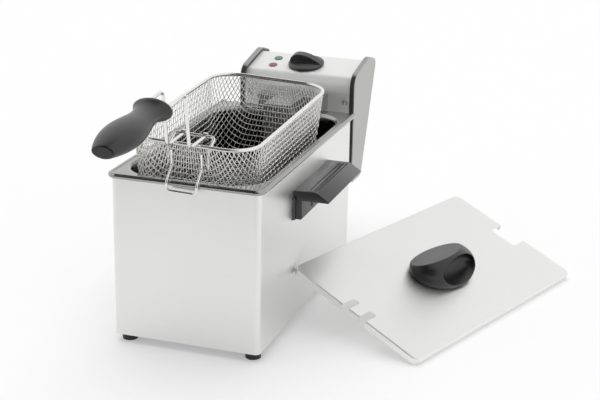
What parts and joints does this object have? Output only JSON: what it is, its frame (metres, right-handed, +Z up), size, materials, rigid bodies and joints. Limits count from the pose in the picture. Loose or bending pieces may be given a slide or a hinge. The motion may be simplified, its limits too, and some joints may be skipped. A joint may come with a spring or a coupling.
{
  "type": "deep fryer",
  "caption": "Counter-top electric deep fryer: steel housing and oil tank, lift-off control head with heater, wire basket hung on the front rim, and a lid leaning on its side.",
  "frame": {"origin": "on the floor under the centre of the housing, in the plane of the feet", "axes": "+X to the right, +Y to the back where the control head is, +Z up"},
  "size_m": [0.5124, 0.6905, 0.3239],
  "materials": {
    "housing_steel": "satin brushed stainless sheet",
    "tray_steel": "plain zinc-coated sheet",
    "head_steel": "satin brushed stainless sheet",
    "tank_steel": "drawn and polished stainless",
    "lid_steel": "fine satin stainless sheet",
    "carrier_steel": "folded stainless sheet",
    "black_plastic": "fine-textured moulded phenolic",
    "dial_plastic": "satin moulded phenolic",
    "foot_rubber": "moulded rubber",
    "bracket_paint": "black powder coat",
    "fastener_steel": "zinc-plated steel",
    "wire_steel": "bright nickel-plated wire",
    "heater_sheath": "dark annealed tube sheath",
    "sensor_copper": "tinned copper tube",
    "lamp_green_lens": "moulded clear green lens",
    "lamp_red_lens": "moulded clear red lens",
    "control_body": "moulded switch body",
    "button_plastic": "moulded button"
  },
  "bodies": {
    "base": {"housing_wrap": "housing_steel", "base_plate": "tray_steel", "feet": "foot_rubber", "foot_screws": "fastener_steel", "side_handle_right": "black_plastic", "side_handle_left": "black_plastic", "handle_screws": "fastener_steel", "head_standoff": "bracket_paint", "standoff_rivets": "fastener_steel", "oil_tank": "tank_steel"},
    "control_head": {"head_panel": "head_steel", "head_back_cover": "head_steel", "end_frame_right": "black_plastic", "end_frame_left": "black_plastic", "side_cover_right": "head_steel", "side_cover_left": "head_steel", "panel_screws": "fastener_steel", "thermostat": "control_body", "thermostat_nut": "fastener_steel", "lamp_green": "lamp_green_lens", "lamp_red": "lamp_red_lens", "thermal_cutout": "control_body", "terminal_block": "control_body", "cable_gland": "black_plastic", "element_carrier": "carrier_steel", "heating_element": "heater_sheath", "element_nuts": "fastener_steel", "sensor_bulb": "sensor_copper", "bulb_clip": "carrier_steel"},
    "dial_knob": {"dial": "dial_plastic", "thermostat_shaft": "fastener_steel"},
    "reset": {"reset_button": "button_plastic"},
    "basket": {"basket_mesh": "wire_steel", "basket_rim": "wire_steel", "basket_hook": "wire_steel", "handle_bracket": "wire_steel"},
    "basket_handle": {"handle_wires": "wire_steel", "handle_grip": "black_plastic"},
    "lid": {"lid_plate": "lid_steel", "lid_knob": "black_plastic", "lid_knob_screws": "fastener_steel"}
  },
  "joints": [
    {"name": "head_lift", "type": "slide", "parent": "base", "child": "control_head", "axis": [0, 0, 1], "range_m": [0, 0.2]},
    {"name": "dial_turn", "type": "hinge", "parent": "control_head", "child": "dial_knob", "pos_m": [0, 0.2527, 0.24726], "axis": [0, 0.1942, -0.981], "range_deg": [0, 270]},
    {"name": "reset_press", "type": "slide", "parent": "control_head", "child": "reset", "axis": [0, -0.9272, 0.3746], "range_m": [0, 0.003], "stiffness_N_per_m": 400},
    {"name": "basket_lift", "type": "slide", "parent": "control_head", "child": "basket", "axis": [0, 0, 1], "range_m": [0, 0.2]},
    {"name": "basket_handle_fold", "type": "hinge", "parent": "basket", "child": "basket_handle", "pos_m": [0.00185, -0.1443, 0.25302], "axis": [-0.9993, -0.0013, 0.0384], "range_deg": [0, 170]},
    {"name": "lid_lift", "type": "slide", "parent": "base", "child": "lid", "axis": [0.8, 0, 0.6], "range_m": [0, 0.25]}
  ]
}
